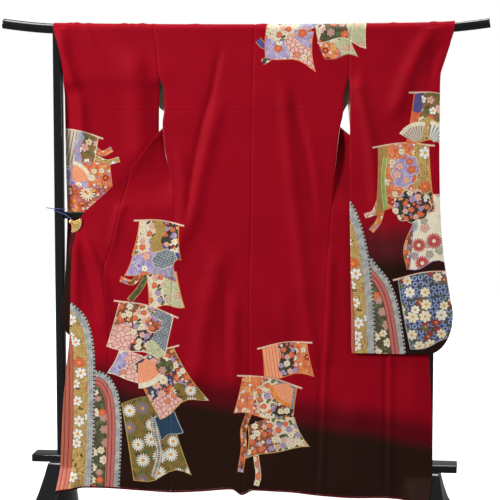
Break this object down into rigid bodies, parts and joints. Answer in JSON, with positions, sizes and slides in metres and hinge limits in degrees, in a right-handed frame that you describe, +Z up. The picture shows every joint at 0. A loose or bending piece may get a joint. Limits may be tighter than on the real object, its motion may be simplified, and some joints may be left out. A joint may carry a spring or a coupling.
{
  "type": "furisode on a kimono stand",
  "caption": "Long-sleeved formal kimono hung by its sleeves on the bar of a black lacquered stand, its back shown and both fronts opened out and clipped near the posts.",
  "frame": {"origin": "on the floor, under the middle of the stand", "axes": "+X along the bar, towards the viewer's right; -Y the way the garment's back faces; +Z up"},
  "size_m": [1.6518, 0.37, 1.692],
  "materials": {
    "silk": "crimson silk crepe that shades to dark brown at hem and sleeve ends, with patches of many-coloured pattern",
    "lining_roll": "dark red padded lining roll, soft sheen",
    "lacquer": "black lacquer, glossy",
    "brass_fan": "worn gilt",
    "indigo_cord": "matt twisted cord"
  },
  "bodies": {
    "root": {"body_left": "silk", "body_right": "silk", "sleeve_left": "silk", "sleeve_right": "silk", "okumi_left": "silk", "okumi_right": "silk", "collar": "silk", "hem_roll": "lining_roll", "clip_left": "brass_fan", "clip_right": "brass_fan", "clip_cord_left": "indigo_cord", "clip_cord_right": "indigo_cord", "stand_bar": "lacquer", "stand_post_left": "lacquer", "stand_post_right": "lacquer", "stand_rail": "lacquer", "stand_plank": "lacquer", "stand_foot_left": "lacquer", "stand_foot_right": "lacquer"}
  },
  "joints": []
}
